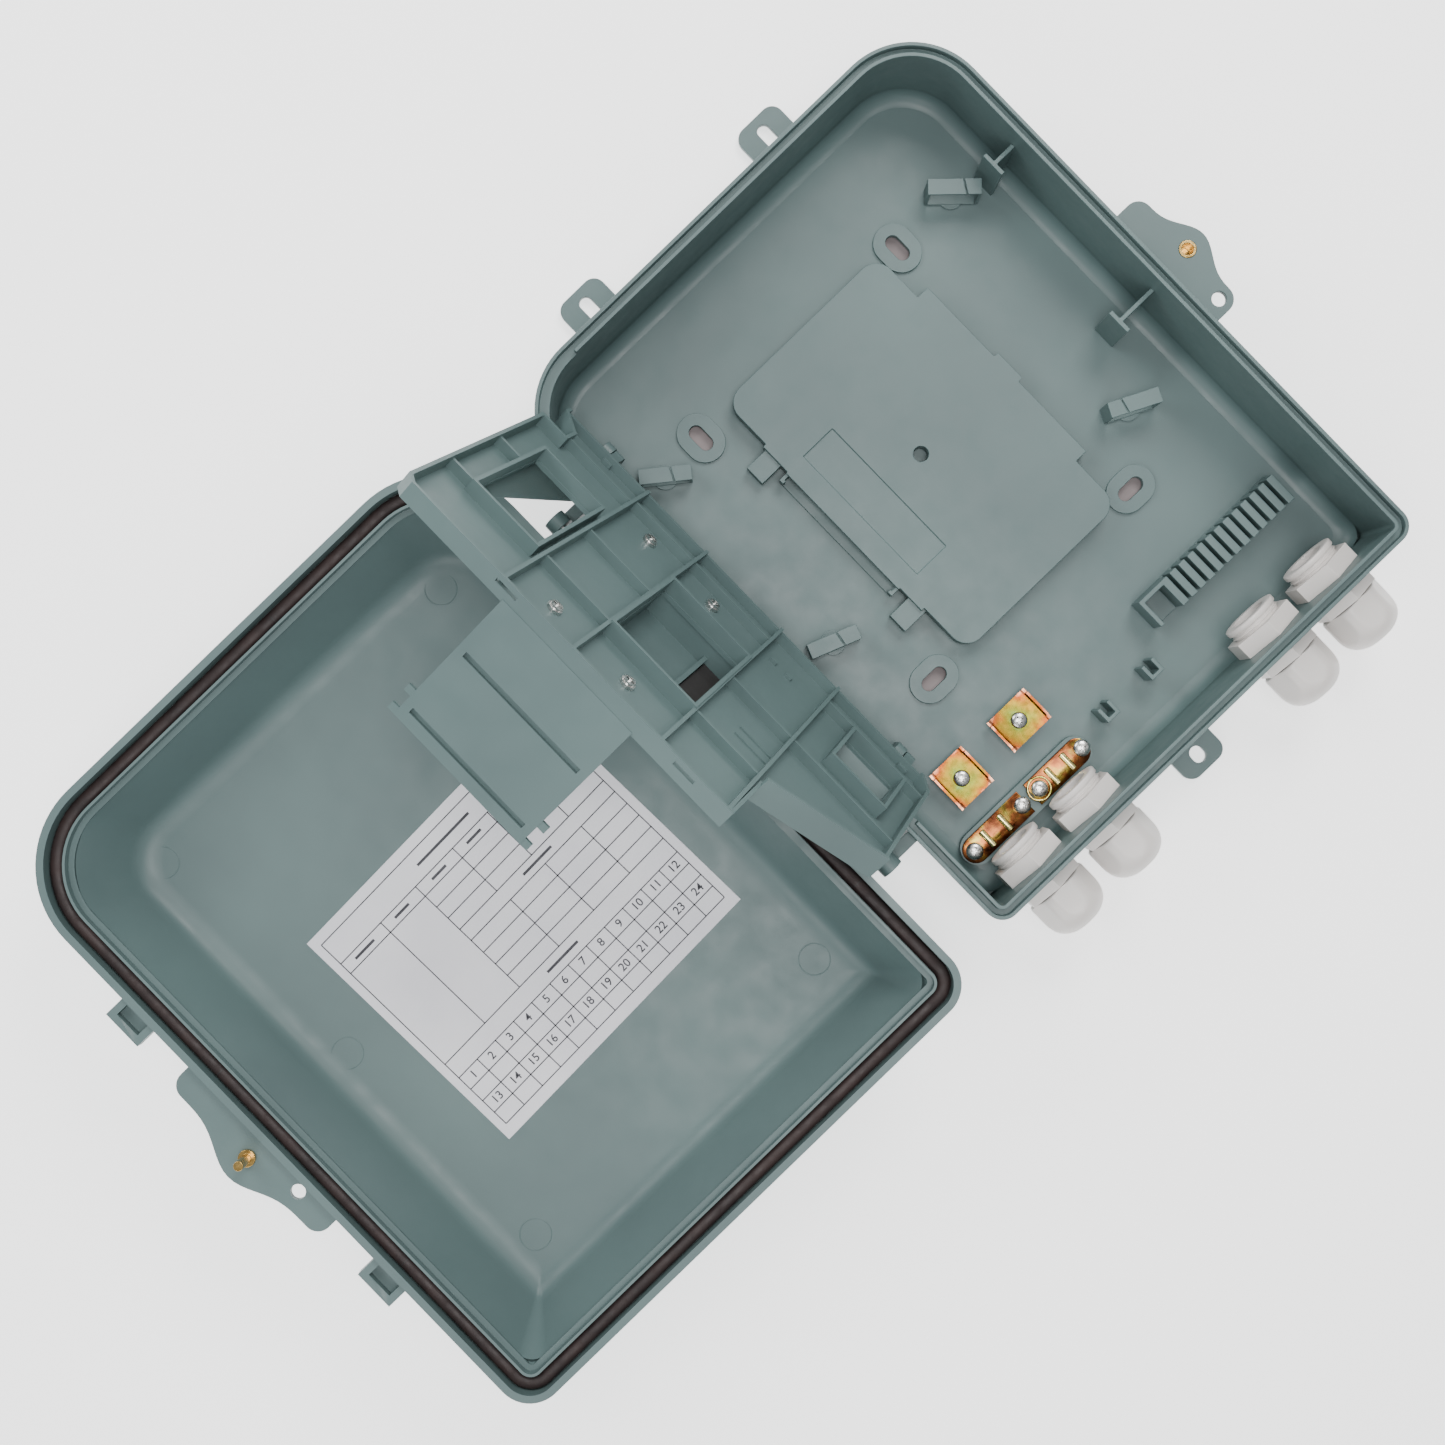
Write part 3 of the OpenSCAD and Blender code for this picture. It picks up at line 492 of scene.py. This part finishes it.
def cross_head(radius, height):
    """Points and sides of a domed pan head with a cross recess, standing on z = 0."""
    dome = [(0.01, height)] + [(radius * math.sin(t), height * (0.3 + 0.7 * math.cos(t) ** 0.8))
                               for t in (math.pi / 2 * k / 8 for k in range(1, 8))]
    dome += [(radius, height * 0.3), (radius, 0), (0.01, 0)]
    head = mesh_object("head", *lathe(dome, 40))
    arm, wide = radius * 0.56, radius * 0.13
    corners = []
    for c, s in ((1, 0), (0, 1), (-1, 0), (0, -1)):
        for px, py in ((wide, -wide), (arm, -wide), (arm, wide)):
            corners.append((c * px - s * py, s * px + c * py))
    low = [(x * 0.5, y * 0.5, height * 0.3) for x, y in corners]
    high = [(x * 1.1, y * 1.1, height * 1.3) for x, y in corners]
    points, sides = loft([low, high])
    count = len(corners)
    ends = [tuple(reversed(range(count))), tuple(range(count, 2 * count))]
    cutter = mesh_object("head_cut", points, ends + sides)
    weld = head.modifiers.new("weld", "WELD")
    weld.merge_threshold = 0.02 * MM
    cross = head.modifiers.new("cross", "BOOLEAN")
    cross.object = cutter
    cross.solver = "EXACT"
    made = bpy.data.meshes.new_from_object(head.evaluated_get(bpy.context.evaluated_depsgraph_get()))
    bpy.data.objects.remove(head)
    bpy.data.objects.remove(cutter)
    return [tuple(c / MM for c in v.co) for v in made.vertices], [tuple(p.vertices) for p in made.polygons]


def screws():
    """Heads of the clamp screws and the earth bar's screws."""
    points, sides = cross_head(4.6, 3.2)
    for i, (x, y, _, _) in enumerate(CLAMPS, 1):
        turn = Matrix.Translation((x, y, PLATE_TOP)) @ Matrix.Rotation(0.5 + i, 4, "Z")
        piece = build("clamp_head_%d" % i, points, sides, STEEL, "base", turn, 30)
        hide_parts("clamp_screw_%d" % i)
    points, sides = cross_head(4.75, 3.4)
    verts, faces = [], []
    for y in EARTH_SCREW_Y:
        turn = Matrix.Translation((EARTH_X, y, PLATE_TOP)) @ Matrix.Rotation(0.3 + y, 4, "Z")
        add_part(verts, faces, [tuple(turn @ Vector(p)) for p in points], sides)
    piece = build("earth_heads", verts, faces, STEEL, "base", None, 30)
    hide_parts("earth_screws")


# ---- Clamp plates and flange -------------------------------------------------------------------

def clamp_plate(i, x, y, half_x, half_y):
    """Pressed plate whose two ends are bent up, with the lips cut short of the corners."""
    rings = []
    for along, lip in ((0, 10.9), (0.12, 10.9), (0.13, 13.3), (0.87, 13.3), (0.88, 10.9), (1, 10.9)):
        h = half_y
        side = [(h, lip), (h, 10.5), (h - 0.4, 9.6), (h - 1.4, 9.1)]
        top = [(h - 3, 10.5), (h - 2.1, 10.6), (h - 1.5, min(11.2, lip)), (h - 1.3, lip)]
        section = [(-a, b) for a, b in side] + [(a, b) for a, b in reversed(side)]
        section += [(a, b) for a, b in reversed(top)] + [(-a, b) for a, b in top]
        rings.append([(x - half_x + 2 * half_x * along, y + a, b) for a, b in section])
    verts, faces = loft(rings)
    count = len(rings[0])
    faces += [tuple(range(count)), tuple(range(len(verts) - count, len(verts)))]
    look = NODES["clamp_plate_%d" % i].data.materials[0]
    plate = build("clamp_%d" % i, verts, faces, look, "base", None, 30)
    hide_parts("clamp_plate_%d" % i)


def slot_backs():
    """Closes the backs of the flange's two slots, so that they read as grooves."""
    turn = (Matrix.Translation(PANEL_HINGE) @ Matrix.Rotation(math.radians(PANEL_TURN), 4, "X")
            @ Matrix.Translation(FLANGE_AT) @ Matrix.Rotation(math.radians(FLANGE_TILT), 4, "X"))
    verts, faces = [], []
    for middle in (31.5, 69.5):
        rings = [[(-x, middle - y, z), (x, middle - y, z), (x, middle + y, z), (-x, middle + y, z)]
                 for x, y, z in ((38.6, 3.1, 1.2), (38.6, 3.1, 1.6), (38, 2.6, 1.95))]
        points, sides = loft(rings)
        add_part(verts, faces, points, sides + [(3, 2, 1, 0), (8, 9, 10, 11)])
    build("flange_slot_backs", verts, faces, GREY, "panel", turn, 40)


# ---- Earth bar ---------------------------------------------------------------------------------

def earth_strip(i, outer, inner):
    """Plate with a rounded outer end, two raised cross ridges and softly turned edges."""
    side = 1 if outer > inner else -1
    half = 7.5
    centre = outer - side * half
    round_end = [math.pi * k / 20 for k in range(21)]
    shape = [(-half, inner), (half, inner)]
    shape += [(half * math.cos(t), centre + side * half * math.sin(t)) for t in round_end]
    rings = []
    for shrink, height in ((0, 9.05), (0, 10), (0.15, 10.35), (0.5, PLATE_TOP)):
        k = 1 - shrink / half
        ring = []
        for x, y in shape:
            moved = y + side * shrink if y == inner else (y - centre) * k + centre
            ring.append((EARTH_X + x * k, moved, height))
        rings.append(ring)
    verts, faces = loft(rings)
    count = len(shape)
    faces.append(tuple(range(len(verts) - count, len(verts))))
    arc = [math.pi * k / 12 for k in range(13)]
    sides = [(c, c + 1, c + 14, c + 13) for c in (a * 13 + b for a in range(3) for b in range(12))]
    for share in (0.36, 0.64):
        middle = inner + share * (outer - inner)
        points = []
        for x, size in ((150.9, 0.55), (151.3, 1), (161.7, 1), (162.1, 0.55)):
            points += [(x, middle + 1.9 * size * math.cos(t), 10.4 + 1.7 * size * math.sin(t)) for t in arc]
        add_part(verts, faces, points, sides)
    piece = build("earth_plate_%d" % i, verts, faces, STRIP_ZINC_AND_HIGHLIGHT, "base", None, 34)
    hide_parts("earth_strip_%d" % i)


def earth_ring():
    """Round wire of the earth lead's lug under the second screw."""
    wire, reach, height = 0.75, 6.4, 10.9
    section = [(reach + wire * math.cos(t), height + wire * math.sin(t))
               for t in (math.pi / 5 * k for k in range(10))]
    verts, faces = lathe(section, 48, True)
    turn = Matrix.Translation((EARTH_X, EARTH_SCREW_Y[1], 0))
    build("earth_ring", verts, faces, ZINC, "base", turn, 60)


# ---- Record card print -------------------------------------------------------------------------

# places on the card, as shares of its side along Y
PRINT_LOW = 0.028
PRINT_HIGH = 0.970
PORT_STEP = (PRINT_HIGH - PRINT_LOW) / 12


def card_point(a, b):
    """A point on the shut cover's card, from shares of its two sides: a along +X, b along -Y."""
    turn = math.radians(-2)
    x, y = (a - 0.5) * CARD_X, (0.5 - b) * CARD_Y
    return (CARD_CENTRE[0] + x * math.cos(turn) - y * math.sin(turn),
            CARD_CENTRE[1] + x * math.sin(turn) + y * math.cos(turn), CARD_TOP)


def card_lines():
    """The printed table's lines, and plain bars in place of its headings."""
    verts, faces = [], []

    def line(a0, b0, a1, b1, wide=0.6):
        da = wide / CARD_X / 2 if a0 == a1 else 0
        db = 0 if a0 == a1 else wide / CARD_Y / 2
        corners = ((a0 - da, b0 - db), (a1 + da, b0 - db), (a1 + da, b1 + db), (a0 - da, b1 + db))
        add_part(verts, faces, [card_point(a, b) for a, b in corners], [(0, 1, 2, 3)])

    for a in (0.041, 0.137, 0.186, 0.651, 0.72, 0.778, 0.837, 0.895, 0.953):
        line(a, PRINT_LOW, a, PRINT_HIGH)
    for a in (0.242, 0.298, 0.356, 0.412, 0.473, 0.532, 0.591):
        line(a, 0.35, a, PRINT_HIGH)
    for b in (PRINT_LOW, PRINT_HIGH):
        line(0.041, b, 0.953, b)
    for k in range(1, 12):
        line(0.72, PRINT_LOW + k * PORT_STEP, 0.953, PRINT_LOW + k * PORT_STEP)
    for b in (0.20, 0.35):
        line(0.137, b, 0.651, b)
    for b in (0.51, 0.66, 0.82):
        line(0.137, b, 0.356, b)
    for b in (0.52, 0.67, 0.825):
        line(0.412, b, 0.651, b)
    headings = [(0.162, b, 0.06) for b in (0.24, 0.40, 0.55, 0.71, 0.86)]
    headings += [(0.162, 0.07, 0.08), (0.09, 0.40, 0.22), (0.686, 0.44, 0.13), (0.384, 0.60, 0.12)]
    for a, b, length in headings:
        line(a, b, a, b + length, 1.5)
    build("card_lines", verts, faces, INK, "cover", OPENED, 60)


def card_numbers():
    """Port numbers 1 to 24 in two rows."""
    verts, faces = [], []
    for number in range(1, 25):
        curve = bpy.data.curves.new("number", "FONT")
        curve.body = str(number)
        curve.size = 6.6
        curve.offset = 0.07
        curve.resolution_u = 3
        curve.align_x = "CENTER"
        curve.align_y = "CENTER"
        text = bpy.data.objects.new("number", curve)
        bpy.context.collection.objects.link(text)
        made = bpy.data.meshes.new_from_object(text.evaluated_get(bpy.context.evaluated_depsgraph_get()))
        bpy.data.objects.remove(text)
        a = 0.749 if number <= 12 else 0.866
        b = PRINT_LOW + ((number - 1) % 12 + 0.5) * PORT_STEP
        points = [card_point(a - v.co.y / CARD_X, b + v.co.x / CARD_Y) for v in made.vertices]
        add_part(verts, faces, points, [tuple(p.vertices) for p in made.polygons])
    build("card_numbers", verts, faces, INK, "cover", OPENED, 60)


cover_liner()
ejector_marks()
base_fillet()
gasket()
gasket_joints()
for index, place in enumerate(GLAND_Y, 1):
    gland_cap(index, place)
    gland_thread(index, place)
screws()
for index, sizes in enumerate(CLAMPS, 1):
    clamp_plate(index, *sizes)
slot_backs()
earth_strip(1, -44.6, -86)
earth_strip(2, -136.4, -91)
earth_ring()
card_lines()
card_numbers()


# ---- Floor, lights and camera ------------------------------------------------------------------

def floor():
    """Pale studio floor just under the box."""
    bpy.ops.mesh.primitive_plane_add(size=14, location=(0, -0.18, -1 * MM))
    plane = bpy.context.object
    plane.name = "studio_floor"
    look = Shader("studio_white")
    look.set(Base_Color=(0.9, 0.9, 0.9, 1), Roughness=0.9, Emission_Color=(1, 1, 1, 1), Emission_Strength=1.3)
    look.relief([(look.noise(40, 2), 0.02, 1 * MM)])
    plane.data.materials.append(look.material)


def floor_mat():
    """Grey sheet of painted shade under the base: it stands in for the shadowed floor that shows through the
    slots in the base's floor.
    """
    rings = [[(x * k * 0.97, y * k * 0.97, z) for x, y, z in outline(8, -0.6)] for k in (1.0, 0.02)]
    mat = mesh_object("studio_shade_sheet", *loft(rings))
    look = Shader("studio_painted_shade")
    look.set(Roughness=0.9)
    # painted shade: grey tones in place of the white floor where the base shadows it
    look.paint(look.noise(30, 3), [(0.3, colour(120, 112, 112)), (0.7, colour(140, 130, 130))])
    mat.data.materials.append(look.material)


def area_light(name, place, size, power, tint=(1, 1, 1)):
    """Rectangular light aimed at the middle of the object."""
    aim = (0.01, -0.18, 0.05)
    data = bpy.data.lights.new(name, "AREA")
    data.shape = "RECTANGLE"
    data.size, data.size_y = size
    data.energy = power
    data.color = tint
    lamp = bpy.data.objects.new(name, data)
    bpy.context.collection.objects.link(lamp)
    lamp.location = place
    lamp.rotation_euler = (Vector(aim) - Vector(place)).to_track_quat("-Z", "Y").to_euler()


def studio():
    """Four soft lights and a pale world."""
    area_light("key", (-0.45, 0.85, 1.2), (0.7, 0.7), 17, (1.0, 0.99, 0.98))
    area_light("side", (-1.25, -0.4, 1.0), (0.8, 0.8), 12)
    area_light("top", (0.15, -0.15, 1.9), (0.8, 0.8), 20)
    area_light("fill", (0.6, -1.35, 1.0), (1.0, 0.8), 10)
    world = bpy.data.worlds.new("studio")
    world.use_nodes = True
    world.node_tree.nodes["Background"].inputs["Color"].default_value = (0.95, 0.98, 1.0, 1)
    world.node_tree.nodes["Background"].inputs["Strength"].default_value = 0.42
    bpy.context.scene.world = world


def camera():
    """Camera that looks straight down on the box, turned as the picture is."""
    data = bpy.data.cameras.new("camera")
    data.lens = 48
    data.sensor_width = 36
    eye = bpy.data.objects.new("camera", data)
    bpy.context.collection.objects.link(eye)
    eye.location = (0.0104, -0.1801, 1.062)
    eye.rotation_euler = Euler((0, 0, math.radians(45.95)))
    bpy.context.scene.camera = eye


floor()
floor_mat()
studio()
camera()
